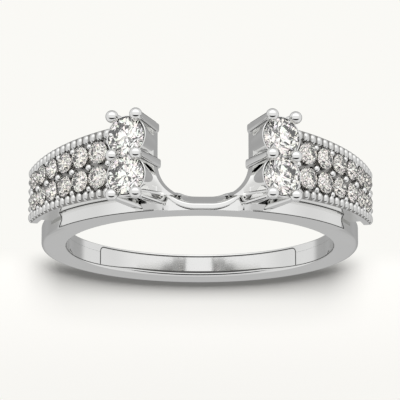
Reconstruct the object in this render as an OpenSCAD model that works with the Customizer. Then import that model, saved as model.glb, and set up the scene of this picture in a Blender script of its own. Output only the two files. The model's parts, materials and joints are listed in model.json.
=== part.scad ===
// Ring guard: a slim shank with a notch at the top for another ring's head, two heads
// of two claw-set stones beside the notch, and two paved shoulders edged with milgrain.
// It is worked out round the finger's axis, with the notch towards -Y and the plain
// front face at z = 0, and is then laid down on its open side, as it rests by itself.

/* [Shank] */
// Inside diameter of the finger hole
finger_d = 17.35; // [15.3:0.05:20.6]
// Width of the shank along the finger
shank_w = 1.54; // [1.4:0.02:1.8]
// Thickness of the shank at its sides
shank_t = 1.6; // [1.4:0.05:1.8]
// Extra thickness at the bottom of the shank
shank_extra = 0.35; // [0:0.05:0.5]
// Rounding of the shank's outer edges
edge_r = 0.3; // [0.15:0.05:0.45]
// Bevel of the finger hole's edges
bevel = 0.08; // [0.04:0.02:0.14]
// Thickness of the crisp upper part of the shank
crest_t = 1.85; // [1.75:0.05:1.95]
// Angle from the top to the end of the crisp part
crest_end = 58; // [54:1:64]

/* [Notch] */
// Width of the notch at the finger
notch_w = 5.2; // [4.8:0.1:5.4]
// Corner radius of the notch at the finger
notch_corner = 2.05; // [1.7:0.05:2.2]
// Metal left in front of the notch at the finger
notch_front = 1.26; // [1.1:0.02:1.4]
// Outward slope of the notch's front wall, mm for each mm of height
front_slope = 0.5; // [0.3:0.05:0.5]
// Outward slope of the notch's side walls, mm for each mm of height
side_slope = 0.35; // [0.25:0.05:0.4]
// Thickness of the bridge in front of the notch
bridge_t = 1.5; // [1.4:0.05:1.65]
// Width of the raised rail round the notch
rail_w = 0.38; // [0.3:0.02:0.46]
// Height of the rail above the bridge
rail_h = 0.22; // [0.15:0.01:0.3]

/* [Heads] */
// Diameter of a main stone
stone_d = 2.42; // [2.2:0.02:2.44]
// Distance between the two main stones of a head
stone_pitch = 2.48; // [2.46:0.02:2.6]
// Middle of the heads, behind the front face
head_mid = 3.09; // [3:0.05:3.3]
// Sideways place of the main stones
head_x = 4.79; // [4.65:0.05:5]
// Height of the main stones' girdles above the finger hole
head_h = 2.93; // [2.8:0.05:3.2]
// Outward lean of the heads, in degrees
head_tilt = 25; // [23:1:27]
// Width of a collet's rim outside its stone
collet_rim = 0.12; // [0.08:0.01:0.16]
// Radius of a collet's foot
collet_foot = 0.95; // [0.8:0.05:1.05]
// Radius of a claw's wire
claw_r = 0.29; // [0.24:0.01:0.32]
// Radius of a claw's ball tip
ball_r = 0.37; // [0.34:0.01:0.4]
// How far a ball reaches in over its stone's edge
ball_in = 0.1; // [0.04:0.02:0.12]
// Sideways place of the inner claws' feet, towards the notch
foot_in = 0.72; // [0.6:0.02:0.8]
// Sideways place of the outer claws' feet
foot_out = 0.54; // [0.4:0.02:0.6]
// How far the feet of the end claws are drawn in along the finger
foot_draw = 0.18; // [0:0.02:0.3]
// How far the front inner claw's foot is set off towards the notch
front_inner = 0.28; // [0.1:0.02:0.4]
// How far the front outer claw's foot is set off towards the notch
front_outer = 0.54; // [0.3:0.02:0.6]
// How far the front outer claw's foot is set off to the front
front_reach = 0.32; // [0.2:0.02:0.4]
// Thickness of the base under the heads
base_t = 0.75; // [0.65:0.05:0.9]
// Height of the heads' base above the finger, over the other ring's band
base_h = 1.08; // [0.95:0.05:1.2]

/* [Shoulders] */
// Height of the shoulders' underside above the finger hole
under_h = 2.08; // [1.95:0.01:2.1]
// Thickness of the shoulders' paved floor
floor_t = 0.3; // [0.25:0.01:0.35]
// Height of the rims above the paved floor
rim_h = 0.16; // [0.12:0.01:0.2]
// Width of the rims
rim_w = 0.5; // [0.44:0.02:0.54]
// Front edge of the shoulders, behind the front face
plate_front = 0.95; // [0.85:0.01:1.05]
// Back edge of the shoulders beside the heads
plate_back = 5.42; // [5.36:0.02:5.6]
// Back edge of the shoulders at their ends
plate_back_end = 4.5; // [4.46:0.02:4.8]
// Distance from a head's middle to the start of its shoulder
start_run = 1.3; // [1.2:0.05:1.4]
// Distance from the shoulder's start to its first stones
first_run = 1.25; // [1.15:0.05:1.35]
// Room between the last stones and the rim at the shoulder's end
end_room = 0.3; // [0.1:0.05:0.5]
// Bevel of the shoulder's end corners
end_bevel = 0.3; // [0.2:0.02:0.4]
// How far the webs under the shoulders lie behind the shoulders' front edge
web_back = 0.15; // [0.1:0.01:0.2]
// How far the webs stop before the shoulders' ends
web_short = 0.8; // [0.6:0.1:1]
// Radius of a milgrain bead
grain_r = 0.26; // [0.22:0.01:0.28]
// Distance of the milgrain's middle line from the shoulders' edges
grain_in = 0.2; // [0.17:0.01:0.21]
// Distance between two milgrain beads
grain_pitch = 0.535; // [0.525:0.005:0.6]

/* [Paving] */
// Stones in each row of a shoulder
pave_n = 6; // [4:1:6]
// Diameter of the paving stones beside the heads
pave_d = 1.42; // [1.3:0.02:1.44]
// How much smaller each next paving stone is
pave_less = 0.04; // [0.02:0.01:0.05]
// Gap between neighbouring paving stones
pave_gap = 0.07; // [0.05:0.01:0.1]
// Gap between the two rows
row_gap = 0.16; // [0.12:0.02:0.2]
// Height of the paving stones' girdles above the paved floor
girdle_h = 0.25; // [0.2:0.01:0.28]
// Height of the beads' middles above the paved floor
bead_h = 0.12; // [0.08:0.02:0.14]
// Radius of a bead beside the paving stones
bead_r = 0.2; // [0.17:0.01:0.21]
// Radius of a bead between four paving stones
mid_bead_r = 0.28; // [0.24:0.01:0.3]

/* [Cut] */
// Width of a stone's table, as a share of its width
table_share = 0.57; // [0.53:0.01:0.62]
// Angle of the crown's main facets
crown_angle = 34.5; // [32:0.5:36]
// Angle of the pavilion's main facets
pavilion_angle = 41; // [40:0.5:42]
// Height of the girdle, as a share of the stone's width
girdle_share = 0.03; // [0.02:0.005:0.05]
// Clearance between a stone and its seat
seat_gap = 0.035; // [0.025:0.01:0.045]
// Width of the hole drilled below a seat, as a share of the seat's width
seat_hole = 0.6; // [0.4:0.05:0.65]

/* [Hidden] */
SIDES = [1, 2];
ROWS = [1, 2];
MAIN = [for (s = SIDES, r = ROWS) str("main_stone_", s, "_", r)];
PAVE = [for (s = SIDES, r = ROWS, i = [1 : pave_n]) str("pave_stone_", s, "_", r, "_", i)];
$fn = 48;
// How far pieces run into each other where they are one metal, and cutters run past them
bite = 0.1;
slack = 0.5;
// How far hidden ends run on under their neighbours, and steps that keep faces out of one plane
tuck = 0.6;
face_step = 0.02;
// Thickness of the flat discs between which the notch is spanned
leaf = 0.01;
// Height of a seat above its stone's girdle, and depth of the milgrain's middles in the rims
seat_lip = 0.15;
grain_sink = 0.03;
// Folds of a round brilliant, and how far out its lower points lie, as a share of its radius
folds = 8;
low_share = 0.25;

bore_r = finger_d / 2;
shank_r = bore_r + shank_t;
crest_r = bore_r + crest_t;
bridge_r = bore_r + bridge_t;
rail_r = bridge_r + rail_h;
base_in = bore_r + base_h;
base_out = base_in + base_t;
claw_low = base_in + base_t / 4;
under_r = bore_r + under_h;
floor_r = under_r + floor_t;
rim_r = floor_r + rim_h;
grain_at = rim_r - grain_sink;
pave_r = floor_r + girdle_h;
head_y = bore_r + head_h;
head_phi = atan2(head_x, head_y);
crest_start = head_phi - 2;

// Half width and middle of the notch at a height above the finger hole
function notch_r(h) = notch_corner + side_slope * h;
function notch_z(h) = front_slope * h - notch_front - notch_r(h);
notch_flat = notch_w / 2 - notch_corner;
notch_top = rail_r + slack - bore_r;
notch_long = plate_back;

// Sizes and angles of the paving stones, from the heads outwards
function run(length) = length / rim_r * 180 / PI;
function chord(width) = 2 * asin(width / 2 / pave_r);
function pave_size(i) = pave_d - i * pave_less;
function pave_step(i) = chord((pave_size(i - 1) + pave_size(i)) / 2 + pave_gap);
function pave_phi(i) = i == 0 ? plate_start + run(first_run) : pave_phi(i - 1) + pave_step(i);
plate_start = head_phi + run(start_run);
plate_end = pave_phi(pave_n - 1) + run(pave_size(pave_n - 1) / 2 + end_room + rim_w);

// Back edge of a shoulder: a plane that leans from the heads to the shoulder's end
plate_mid = (plate_start + plate_end) / 2;
back_mid = (plate_back + plate_back_end) / 2;
back_lean = (plate_back - plate_back_end) / 2 / sin((plate_end - plate_start) / 2);
function back_z(phi) = back_lean * sin(phi - plate_mid) - back_mid;
function row_z(i, row) = (back_z(pave_phi(i)) - plate_front + row * (pave_size(i) + row_gap)) / 2;

// How far down a head's lean a radius is reached, and where its balls stand
lean_y = head_x * sin(head_tilt) + head_y * cos(head_tilt);
function depth(r) = lean_y - sqrt(pow(lean_y, 2) + pow(r, 2) - pow(head_x, 2) - pow(head_y, 2));
ball_x = sqrt(pow(stone_d / 2 + ball_r - ball_in, 2) - pow(stone_pitch / 2, 2));
ball_up = girdle_share * stone_d / 2
    + (ball_r + seat_gap - (ball_r - ball_in) * sin(crown_angle)) / cos(crown_angle);
ball_h = head_y + ball_x * sin(head_tilt) + ball_up * cos(head_tilt);

// The ring laid down: the beads at its shoulders' corners and its shank's heel touch the floor
toe_phi = plate_end - run(grain_in);
toe_h = grain_at * cos(toe_phi);
toe_z = back_z(toe_phi) + grain_in;
heel_h = edge_r - shank_r - shank_extra;
heel_z = edge_r - shank_w;
rest_tilt = atan2(heel_z - toe_z, toe_h - heel_h)
    + asin((grain_r - edge_r) / norm([toe_h - heel_h, toe_z - heel_z]));
function laid_y(h, z) = z * sin(rest_tilt) - h * cos(rest_tilt);
function laid_z(h, z) = h * sin(rest_tilt) + z * cos(rest_tilt);
floor_z = laid_z(toe_h, toe_z) - grain_r;
front_y = laid_y(ball_h, -head_mid - stone_pitch) - ball_r;
mid_y = (front_y + laid_y(heel_h, -edge_r) + edge_r) / 2;

module laid_down() {
    translate([0, -mid_y, -floor_z]) rotate([-rest_tilt, 0, 0]) children();
}

// Children built on the ring's -Y side, turned by an angle away from the notch
module round_ring(phi) {
    rotate([0, 0, phi]) children();
}

module both_sides() {
    for (m = [0, 1]) mirror([m, 0, 0]) children();
}

// A piece of a ring from one angle to another, between two radii and two heights
module band(r_in, r_out, z_low, z_high, from, to) {
    rotate([0, 0, from - 90]) rotate_extrude(angle = to - from)
        translate([r_in, z_low]) square([r_out - r_in, z_high - z_low]);
}

// A round rod between two points
module rod(a, b, r) {
    d = b - a;
    translate(a) rotate([0, acos(d[2] / norm(d)), atan2(d[1], d[0])]) cylinder(h = norm(d), r = r);
}

// The shank's outside: a rounded section turned round a middle that lies a little lower
module shank_outside() {
    translate([0, shank_extra, 0]) rotate_extrude() {
        translate([0, -shank_w]) square([shank_r - edge_r, shank_w]);
        translate([0, edge_r - shank_w]) square([shank_r, shank_w - 2 * edge_r]);
        for (z = [edge_r - shank_w, -edge_r]) translate([shank_r - edge_r, z]) circle(r = edge_r);
    }
}

// The finger hole with its two bevelled edges
module finger_hole() {
    translate([0, 0, -shank_w - slack]) cylinder(h = shank_w + 2 * slack, r = bore_r);
    translate([0, 0, -bevel]) cylinder(h = 2 * bevel, r1 = bore_r, r2 = bore_r + 2 * bevel);
    translate([0, 0, -shank_w - bevel]) cylinder(h = 2 * bevel, r1 = bore_r + 2 * bevel, r2 = bore_r);
}

// The room for the other ring's head, grown by a margin all round
module notch(grow) {
    hull() for (h = [-slack, notch_top], x = [-notch_flat, notch_flat], back = [0, notch_long])
        translate([x, -bore_r - h, notch_z(h) - back])
            rotate([90, 0, 0]) cylinder(h = leaf, r = notch_r(h) + grow, $fn = 32);
}

module shank() {
    shank_outside();
    both_sides() band(base_in, crest_r, -shank_w, 0, crest_start, crest_end);
    bridge_end = crest_start + run(bite);
    band(base_in, bridge_r, -shank_w, 0, -bridge_end, bridge_end);
}

// The raised rail that follows the notch's rim
module rail() {
    rail_end = crest_start + run(slack);
    intersection() {
        band(base_in, rail_r, -notch_front - notch_corner, 0, -rail_end, rail_end);
        notch(rail_w);
    }
}

// The base that carries the heads behind the shank
module heads_base() {
    both_sides() band(base_in, base_out, -plate_back, -plate_front,
        crest_start / 2, plate_start + run(tuck));
}

// The webs that carry the shoulders on the shank, nearly flush in front up to the crest's end
module webs() {
    web_end = plate_end - run(web_short);
    both_sides() {
        web(-plate_front - web_back, web_end);
        web(-plate_front - face_step, crest_end - run(tuck));
    }
}

module web(front, end) {
    band(shank_r - 2 * edge_r, under_r + bite, -shank_w, front, plate_start, end);
}

// Everything behind a line at a distance inside a shoulder's back edge
module behind(inside) {
    round_ring(plate_mid) translate([0, 0, inside - back_mid]) rotate([0, -atan(back_lean / rim_r), 0])
        translate([-2 * rim_r, -2 * rim_r, -rim_r]) cube([4 * rim_r, 2 * rim_r, rim_r]);
}

// A bevel across a corner of a shoulder's end, turned one way or the other
module corner_bevel(z, turn) {
    round_ring(plate_end) translate([0, 0, z]) rotate([0, turn, 0])
        translate([-end_bevel / sqrt(2), -2 * rim_r, -2 * end_bevel])
            cube([4 * end_bevel, 2 * rim_r, 4 * end_bevel]);
}

// A shoulder: floor, rims on three sides, and the step down to the heads' base
module shoulder() {
    difference() {
        union() {
            band(under_r, rim_r, -plate_back - slack, -plate_front, plate_start, plate_end);
            band(base_out - bite, floor_r - bite, -plate_back - slack, -plate_front - face_step,
                plate_start - run(bite), plate_start + run(tuck + bite));
        }
        difference() {
            band(floor_r, rim_r + slack, -plate_back - 2 * slack, -plate_front - rim_w,
                plate_start - run(slack), plate_end - run(rim_w));
            behind(rim_w);
        }
        behind(0);
        corner_bevel(-plate_front, -45);
        corner_bevel(back_z(plate_end), 45);
    }
}

// The seat of a stone: its own outline with clearance, and a drilled hole below it
module seat(d, drill) {
    r = d / 2 + seat_gap;
    girdle = girdle_share * d / 2;
    hole = seat_hole * r;
    rotate([90, 0, 0]) rotate_extrude() polygon([
        [0, -drill], [hole, -drill],
        [hole, (hole - r) * tan(pavilion_angle) - girdle],
        [r, -girdle], [r, girdle],
        [r - seat_lip / tan(crown_angle), girdle + seat_lip],
        [0, girdle + seat_lip]]);
}

module pave_seats() {
    for (i = [0 : pave_n - 1], row = [-1, 1])
        round_ring(pave_phi(i)) translate([0, -pave_r, row_z(i, row)])
            seat(pave_size(i), pave_r - under_r + slack);
}

// A bead on the paved floor, with its pole straight up
module bead(z, r) {
    translate([0, -floor_r - bead_h, z]) rotate([90, 0, 0]) sphere(r = r);
}

// Beads before, between and after the stones: one in the middle and one at each side
module pave_beads() {
    for (j = [0 : pave_n]) {
        i = min(j, pave_n - 1);
        pitch = pave_size(i) + pave_gap;
        across = sqrt(pow(pave_size(i) / 2 + bead_r + seat_gap, 2) - pow(pitch / 2, 2));
        round_ring(pave_phi(i) + chord(pitch) * (j < pave_n ? -0.5 : 0.5)) {
            bead((row_z(i, -1) + row_z(i, 1)) / 2, mid_bead_r);
            for (row = [-1, 1]) bead(row_z(i, row) + row * across, bead_r);
        }
    }
}

// Milgrain along the two long edges and across the end of a shoulder
module milgrain() {
    high = -plate_front - grain_in;
    across = floor((high - toe_z) / grain_pitch);
    for (k = [0 : floor((toe_phi - plate_start) / run(grain_pitch)) - 1]) {
        phi = toe_phi - k * run(grain_pitch);
        round_ring(phi) for (z = [high, back_z(phi) + grain_in])
            translate([0, -grain_at, z]) sphere(r = grain_r);
    }
    for (k = [1 : across - 1])
        round_ring(toe_phi) translate([0, -grain_at, toe_z + k * (high - toe_z) / across])
            sphere(r = grain_r);
}

// Children in a head's own frame: -y up along its lean, x away from the notch, z along the finger
module on_head() {
    translate([head_x, -head_y, -head_mid]) rotate([0, 0, head_tilt]) children();
}

// A head before its seats are cut: two collets, and six claws with ball tips
module head() {
    on_head() {
        for (row = [-1, 1]) translate([0, 0, row * stone_pitch / 2]) rotate([-90, 0, 0])
            cylinder(h = depth(base_out) + 2 * bite, r1 = stone_d / 2 + collet_rim, r2 = collet_foot);
        for (row = [-1, 0, 1], side = [-1, 1]) {
            tip = [side * ball_x, -ball_up, row * stone_pitch];
            draw = row * (stone_pitch - foot_draw);
            foot = side < 0 ? [row > 0 ? -foot_in - front_inner : -foot_in, depth(claw_low), draw]
                : [row > 0 ? foot_out - front_outer : foot_out, depth(base_out) + bite,
                    row > 0 ? draw + front_reach : draw];
            translate(tip) sphere(r = ball_r);
            rod(tip, foot, claw_r);
        }
    }
}

module head_seats() {
    on_head() for (row = [-1, 1]) translate([0, 0, row * stone_pitch / 2])
        seat(stone_d, depth(base_in) + slack);
}

// All the metal, soldered into one: what is built behind the notch is open towards it
module ring_body() color("silver") laid_down() difference() {
    union() {
        difference() {
            union() {
                shank();
                rail();
                heads_base();
            }
            notch(0);
        }
        webs();
        both_sides() {
            shoulder();
            milgrain();
            pave_beads();
            head();
        }
    }
    finger_hole();
    both_sides() {
        pave_seats();
        head_seats();
    }
}

// A round brilliant: an eight-sided table, star, kite and girdle facets over a pointed
// pavilion, with its girdle round z = 0
module brilliant(d) {
    r = d / 2;
    half = girdle_share * r;
    turn = 360 / folds;
    flat = cos(turn / 2);
    table_r = table_share * r;
    star_r = (table_r * flat + r) / 2;
    low_r = low_share * r;
    top = [for (i = [0 : folds - 1])
        polar(table_r, turn * i, half + (r - table_r) * tan(crown_angle))];
    star = [for (i = [0 : folds - 1])
        polar(star_r, turn * (i + 0.5), half + (r - star_r * flat) * tan(crown_angle))];
    edge = [for (z = [half, -half], k = [0 : 2 * folds - 1]) polar(r, turn / 2 * k, z)];
    low = [for (i = [0 : folds - 1])
        polar(low_r, turn * (i + 0.5), (low_r * flat - r) * tan(pavilion_angle) - half)];
    tip = [polar(0, 0, -r * tan(pavilion_angle) - half)];
    // Where the star's, the upper and lower edge's and the low points start, and the tip
    S = folds;
    G = 2 * folds;
    B = 4 * folds;
    L = 6 * folds;
    T = 7 * folds;
    polyhedron(points = concat(top, star, edge, low, tip), faces = concat(
        [[for (i = [1 : folds]) folds - i]],
        [for (i = [0 : folds - 1]) [i, (i + 1) % folds, S + i]],
        [for (i = [0 : folds - 1]) [i, S + i, G + 2 * i, S + (i + folds - 1) % folds]],
        [for (i = [0 : folds - 1], k = [0, 1]) [S + i, G + (2 * i + k + 1) % G, G + 2 * i + k]],
        [for (k = [0 : G - 1]) [G + k, G + (k + 1) % G, B + (k + 1) % G, B + k]],
        [for (i = [0 : folds - 1], k = [0, 1]) [L + i, B + 2 * i + k, B + (2 * i + k + 1) % G]],
        [for (i = [0 : folds - 1]) [T, L + (i + folds - 1) % folds, B + 2 * i, L + i]]));
}
function polar(r, a, z) = [r * cos(a), r * sin(a), z];

module main_stone(side, row) color("aliceblue") laid_down() mirror([side - 1, 0, 0]) on_head()
    translate([0, 0, (2 * row - 3) * stone_pitch / 2]) rotate([90, 0, 0]) brilliant(stone_d);

module pave_stone(side, row, i) color("ivory") laid_down() mirror([side - 1, 0, 0])
    round_ring(pave_phi(i - 1)) translate([0, -pave_r, row_z(i - 1, 2 * row - 3)])
        rotate([90, 0, 0]) brilliant(pave_size(i - 1));

ring_body();
for (s = SIDES, r = ROWS)
    main_stone(s, r);
for (s = SIDES, r = ROWS, i = [1 : pave_n])
    pave_stone(s, r, i);
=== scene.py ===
# %% [markdown]
# A ring guard in high-polish white metal: a slim shank with a notch for another ring's
# head, claw-set stones beside the notch, and paved shoulders edged with milgrain. The CAD
# frame says where everything lies. This lesson gives the ring its finish, its light and
# its camera.

# %% Load the frame
import json
import bmesh
import bpy
import numpy as np
from mathutils import Matrix, Vector


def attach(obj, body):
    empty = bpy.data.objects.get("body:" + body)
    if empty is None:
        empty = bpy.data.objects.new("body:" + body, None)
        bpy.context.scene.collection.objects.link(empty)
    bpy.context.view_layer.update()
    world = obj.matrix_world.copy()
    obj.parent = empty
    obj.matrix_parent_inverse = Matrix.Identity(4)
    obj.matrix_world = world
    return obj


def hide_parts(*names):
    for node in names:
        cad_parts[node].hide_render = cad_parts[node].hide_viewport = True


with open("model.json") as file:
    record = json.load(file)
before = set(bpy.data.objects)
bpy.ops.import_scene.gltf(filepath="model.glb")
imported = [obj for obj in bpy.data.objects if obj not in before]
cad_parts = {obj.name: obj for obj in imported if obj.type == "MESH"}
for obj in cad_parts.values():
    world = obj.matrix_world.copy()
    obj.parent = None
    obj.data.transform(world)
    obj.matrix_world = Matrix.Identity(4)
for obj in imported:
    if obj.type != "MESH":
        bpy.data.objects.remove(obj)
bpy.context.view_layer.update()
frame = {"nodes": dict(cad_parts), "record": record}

# %% [markdown]
# The ring lies a little tilted on its open side, so its own axes lean. The record's
# finger_hole mount gives the finger's axis and the middle of the hole's wall. From them
# comes one function that carries points from the ring's own frame, in millimetres, with
# x across, h up to the notch and a forwards along the finger, to the frame's metres.

# %% The ring's own axes
MM = 0.001
SHANK_W = 1.54
hole = next(m for m in frame["record"]["mounts"] if m["name"] == "finger_hole")
finger_axis = np.array(hole["axis"], float)
finger_axis /= np.linalg.norm(finger_axis)
head_way = np.array([0.0, -finger_axis[2], finger_axis[1]])
ring_axes = np.array([[1.0, 0.0, 0.0], head_way, finger_axis])
front_middle = np.array(hole["pos_m"]) + finger_axis * SHANK_W / 2 * MM


def laid(points):
    """Where points of the ring lie: the front's middle plus x, h and a along the ring's axes."""
    return front_middle + np.asarray(points, float) @ ring_axes * MM


print("Front face's middle, mm:", np.round(front_middle / MM, 3))

# %% [markdown]
# The picture was taken from the notch's side, a little to the front, with a long lens.
# Two angles, a distance and a scale say where the camera stands. It aims at the point
# that lies in the middle of the picture, so the lens needs no shift. The picture's up
# is the ring's backwards way, which is why the camera seems to hang upside down.

# %% Camera
VIEW_RISE = np.radians(13.1)
VIEW_YAW = np.radians(1.2)
VIEW_MM = 200.0
PX_PER_MM = 15.42
PICTURE_PX = 400
FRONT_MIDDLE_PX = np.array([199.9, 247.77])
SENSOR_MM = 36.0
CLIP_M = (0.01, 10.0)


def seen(right, to_head, forwards):
    """A way in the picture's terms: turned by the yaw about the finger, then laid."""
    x = to_head * np.sin(VIEW_YAW) - right * np.cos(VIEW_YAW)
    h = right * np.sin(VIEW_YAW) + to_head * np.cos(VIEW_YAW)
    return np.array([x, h, forwards]) @ ring_axes


to_camera = seen(0.0, np.cos(VIEW_RISE), np.sin(VIEW_RISE))
picture_up = seen(0.0, np.sin(VIEW_RISE), -np.cos(VIEW_RISE))
picture_right = seen(1.0, 0.0, 0.0)
off_mm = (FRONT_MIDDLE_PX - PICTURE_PX / 2) / PX_PER_MM
aim = front_middle + (picture_up * off_mm[1] - picture_right * off_mm[0]) * MM
stand = front_middle + to_camera * VIEW_MM * MM
back = Vector(stand - aim).normalized()
right = Vector(picture_up).cross(back).normalized()
turned_to_aim = Matrix((right, back.cross(right), back)).transposed().to_4x4()

camera = bpy.data.objects.new("camera", bpy.data.cameras.new("camera"))
bpy.context.collection.objects.link(camera)
camera.matrix_world = Matrix.Translation(stand) @ turned_to_aim
camera.data.sensor_width = SENSOR_MM
camera.data.lens = SENSOR_MM * PX_PER_MM * VIEW_MM / PICTURE_PX
camera.data.clip_start, camera.data.clip_end = CLIP_M
bpy.context.scene.camera = camera
bpy.context.scene.view_settings.view_transform = "Standard"
print("Camera above the floor, degrees:", round(float(np.degrees(np.arcsin(back.z))), 1))

# %% [markdown]
# Materials and light are sums and products of patterns. Each step could be a node added by
# hand. A small class lets Python's own operators write them, and one method makes every
# other kind of node.

# %% A wire between nodes


class Wire:
    """An output of a node. + - * and / on it add Math nodes, so 1 - mask works."""

    def __init__(self, tree, socket=None):
        self.tree = tree
        self.socket = socket

    def add(self, kind, settings=(), values=(), out=0):
        """Adds a node, first its settings and then its sockets; out is the output to go on from."""
        node = self.tree.nodes.new(kind)
        for name, value in dict(settings).items():
            setattr(node, name, value)
        for name, value in dict(values).items():
            if isinstance(value, Wire):
                self.tree.links.new(value.socket, node.inputs[name])
            else:
                node.inputs[name].default_value = value
        return Wire(self.tree, node.outputs[out] if node.outputs else None)

    def math(self, operation, *terms):
        """A Math node on these terms."""
        return self.add("ShaderNodeMath", {"operation": operation}, enumerate(terms))

    def __add__(self, other):
        return self.math("ADD", self, other)

    def __sub__(self, other):
        return self.math("SUBTRACT", self, other)

    def __rsub__(self, other):
        return self.math("SUBTRACT", other, self)

    def __mul__(self, other):
        return self.math("MULTIPLY", self, other)

    def __truediv__(self, other):
        return self.math("DIVIDE", self, other)

    __radd__ = __add__
    __rmul__ = __mul__

    def rise(self, low, high):
        """0 below low, 1 above high, and a smooth rise between."""
        span = {"Value": self, "From Min": low, "From Max": high}
        return self.add("ShaderNodeMapRange", {"interpolation_type": "SMOOTHSTEP"}, span)

    def mix(self, first, second, share=None):
        """The first colour where the share, or else this, is 0, and the second where it is 1."""
        values = {0: self if share is None else share, 6: first, 7: second}
        return self.add("ShaderNodeMix", {"data_type": "RGBA"}, values, out=2)

    def along(self, way):
        """How far this place or direction goes along a way."""
        dot = {"operation": "DOT_PRODUCT"}
        return self.add("ShaderNodeVectorMath", dot, {0: self, 1: way}, out="Value")

    def noise(self, scale, detail=2.0):
        """A soft cloud from 0 to 1 over this place or direction, finer as the scale grows."""
        values = {"Vector": self, "Scale": scale, "Detail": detail}
        return self.add("ShaderNodeTexNoise", (), values)


print("A wire can:", [name for name in vars(Wire) if not name.startswith("_")])

# %% [markdown]
# A polished metal looks like what stands round it. The ring was shot in a white tent. Its
# roof, table, front and back are meant here as the ring stood in it, with its head up. It
# is bright behind and above the head and greyer towards the table. White panels round
# the ring could give this light, but a tent painted on the world by direction, in the
# ring's own axes, is easier to steer and throws no shadow.

# %% The tent's walls
TABLE_LIGHT = 0.38
SIDE_LIGHT = 0.38
SIDE_RISE = (-0.9, 0.35)
ROOF_LIGHT = 0.12
ROOF_RISE = (0.0, 1.0)
BACK_LIGHT = 0.55
BACK_RISE = (0.12, 0.65)
BACK_ABOVE = (0.15, 0.6)
FRONT_LIGHT = 0.14
FRONT_END = (-0.25, 0.05)
FRONT_TOP = (-1.0, 0.0)

world = bpy.data.worlds.new("tent")
world.use_nodes = True
bpy.context.scene.world = world
world.node_tree.nodes.clear()
direction = Wire(world.node_tree).add("ShaderNodeTexCoord", out="Generated")
to_roof = direction.along(head_way)
to_back = direction.along(-finger_axis)
walls = TABLE_LIGHT + to_roof.rise(*SIDE_RISE) * SIDE_LIGHT
walls = walls + to_roof.rise(*ROOF_RISE) * ROOF_LIGHT
walls = walls + to_back.rise(*BACK_RISE) * to_roof.rise(*BACK_ABOVE) * BACK_LIGHT
in_front = 1.0 - to_back.rise(*FRONT_END)
walls = walls + in_front * (1.0 - to_roof.rise(*FRONT_TOP)) * FRONT_LIGHT
print("Nodes in the tent's walls:", len(world.node_tree.nodes))

# %% [markdown]
# Low cards stand at both sides. They light the collets' flanks beside the notch, and fine
# dark stripes across them draw the thin streaks that those flanks show. The stripes are a
# sine of the height with its lower half cut off, because they repeat evenly.

# %% Side cards and their stripes
CARD_LIGHT = 0.3
CARD_ASIDE = (0.08, 0.4)
CARD_FOOT = (-0.98, -0.85)
CARD_TOP = (-0.55, 0.3)
STRIPES = 75.0
STRIPE_EDGE = (0.1, 0.7)
STRIPES_TOP = (-0.6, -0.45)
STRIPE_DARK = 0.62

across = direction.along((1.0, 0.0, 0.0))
card = (across * across).rise(*CARD_ASIDE)
above_foot = to_roof.rise(*CARD_FOOT)
walls = walls + card * above_foot * (1.0 - to_roof.rise(*CARD_TOP)) * CARD_LIGHT
striped = (1.0 - to_roof.rise(*STRIPES_TOP)) * above_foot
stripes = (to_roof * STRIPES).math("SINE").rise(*STRIPE_EDGE) * card * striped
walls = walls * (1.0 - stripes * STRIPE_DARK)
print("Nodes with the cards:", len(world.node_tree.nodes))

# %% [markdown]
# In front the tent has a narrow dark slot, for the lens. It draws the black hooks on the
# claws' balls. It stays clear of what the flat front face mirrors in a view from behind,
# where the whole face would turn black.

# %% The dark slot
SLOT_AT = np.radians(50)
SLOT_HIGH = np.sin(np.radians(14))
SLOT_WIDE = np.sin(np.radians(56))
SLOT_EDGE = (0.8, 1.25)
SLOT_SIDE = (0.0, 0.1)
SLOT_SHADE = 0.97

slot_way = head_way * np.cos(SLOT_AT) + finger_axis * np.sin(SLOT_AT)
slot_up = finger_axis * np.cos(SLOT_AT) - head_way * np.sin(SLOT_AT)
lift = direction.along(slot_up) / SLOT_HIGH
reach = across / SLOT_WIDE
slot = 1.0 - (lift * lift + reach * reach).rise(*SLOT_EDGE)
slot = slot * direction.along(slot_way).rise(*SLOT_SIDE)
walls = walls * (1.0 - slot * SLOT_SHADE)
print("Nodes with the slot:", len(world.node_tree.nodes))

# %% [markdown]
# A cut stone breaks the light of a whole room into sparks. Instead of building a room, the
# tent shows small cells of white, black and faint colour to every ray that has been
# through a stone. The camera itself sees plain paper. The sheet below the ring takes only
# a share of the tent's light, so that a lamp's shadow shows on it.

# %% Sparks for the stones, paper for the camera
GLINT_SCALE = 10.0
GLINT_DARK = (0.42, 0.5)
GLINT_FIRE = 0.2
GLINT_BLACK = (0.03, 0.03, 0.035, 1)
GLINT_WHITE = (1.6, 1.58, 1.52, 1)
PAPER = (0.955, 0.948, 0.914, 1)
SHEET_SHARE = 0.3

cells_at = {"Vector": direction, "Scale": GLINT_SCALE}
colours = direction.add("ShaderNodeTexVoronoi", (), cells_at, out="Color")
lit = direction.noise(GLINT_SCALE).rise(*GLINT_DARK)
sparks = lit.mix(GLINT_BLACK, colours.mix(GLINT_WHITE, colours, GLINT_FIRE))
through_stone = direction.add("ShaderNodeLightPath", out="Is Transmission Ray")
from_camera = direction.add("ShaderNodeLightPath", out="Is Camera Ray")
on_sheet = direction.add("ShaderNodeLightPath", out="Is Diffuse Ray")
shown = from_camera.mix(through_stone.mix(walls, sparks), PAPER)
strength = 1.0 - on_sheet * (1.0 - SHEET_SHARE)
sky = direction.add("ShaderNodeBackground", (), {"Color": shown, "Strength": strength})
sky.add("ShaderNodeOutputWorld", (), {"Surface": sky})
print("Nodes in the whole tent:", len(world.node_tree.nodes))

# %% [markdown]
# The ring lay on a plain sheet lit from below, so no shadow shows inside it. Past the
# ring's heel the glow ends, and there a broad lamp throws the ring's soft shadow. Farther
# out the sheet glows again, in the paper's tone. A sheet lit by lamps alone would be grey
# inside the ring.

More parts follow.
